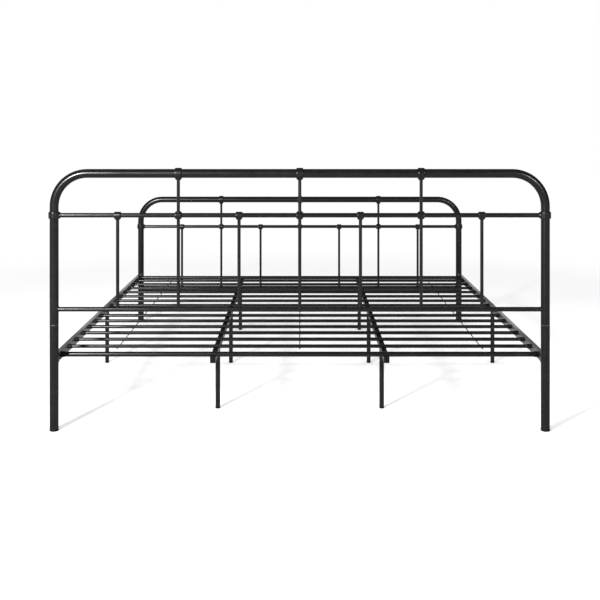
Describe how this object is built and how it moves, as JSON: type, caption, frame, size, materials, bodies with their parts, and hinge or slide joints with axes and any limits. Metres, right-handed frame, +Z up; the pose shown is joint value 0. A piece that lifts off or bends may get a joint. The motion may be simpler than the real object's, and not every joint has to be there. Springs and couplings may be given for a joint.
{
  "type": "metal bed frame",
  "caption": "Black knock-down metal platform bed frame with arched spindle headboard and footboard, tubular slats, spliced rails and support legs.",
  "frame": {"origin": "on the floor, midway between the four corner posts", "axes": "+X across the bed, +Y from the headboard towards the footboard, +Z up"},
  "size_m": [1.979, 2.125, 1.035],
  "materials": {
    "coated_steel": "satin black powder coat on steel tube",
    "coated_casting": "satin black powder coat on cast collars",
    "black_plastic": "moulded black plastic, fine matte texture",
    "plated_steel": "zinc-plated steel"
  },
  "bodies": {
    "root": {"headboard_hoop": "coated_steel", "headboard_left_leg": "coated_steel", "headboard_right_leg": "coated_steel", "headboard_leg_sleeves": "coated_steel", "headboard_leg_screws": "coated_steel", "headboard_mid_rail": "coated_steel", "headboard_lower_rail": "coated_steel", "headboard_upper_spindles": "coated_steel", "headboard_lower_spindles": "coated_steel", "footboard_hoop": "coated_steel", "footboard_mid_rail": "coated_steel", "footboard_lower_rail": "coated_steel", "footboard_upper_spindles": "coated_steel", "footboard_lower_spindles": "coated_steel", "corner_lugs": "coated_steel", "corner_bolts": "coated_steel", "side_rail_left_head": "coated_steel", "side_rail_left_foot": "coated_steel", "side_rail_right_head": "coated_steel", "side_rail_right_foot": "coated_steel", "side_rail_splices": "coated_steel", "centre_rail_left_head": "coated_steel", "centre_rail_left_foot": "coated_steel", "centre_rail_right_head": "coated_steel", "centre_rail_right_foot": "coated_steel", "centre_rail_splices": "coated_steel", "splice_screws": "coated_steel", "end_bar_head": "coated_steel", "end_bar_foot": "coated_steel", "slat_01": "coated_steel", "slat_02": "coated_steel", "slat_03": "coated_steel", "slat_04": "coated_steel", "slat_05": "coated_steel", "slat_06": "coated_steel", "slat_07": "coated_steel", "slat_08": "coated_steel", "slat_09": "coated_steel", "slat_10": "coated_steel", "slat_11": "coated_steel", "slat_12": "coated_steel", "slat_13": "coated_steel", "slat_14": "coated_steel", "tie_wires": "coated_steel", "side_support_legs": "coated_steel", "centre_support_legs": "coated_steel", "top_collars": "coated_casting", "tee_collars": "coated_casting", "cross_collars": "coated_casting", "post_collars": "coated_casting", "corner_foot_caps": "black_plastic", "centre_rail_plugs": "black_plastic", "slat_sockets": "black_plastic", "end_bar_sockets": "black_plastic", "support_leg_caps": "black_plastic", "corner_nuts": "plated_steel", "support_leg_studs": "plated_steel", "support_leg_nuts": "plated_steel"}
  },
  "joints": []
}
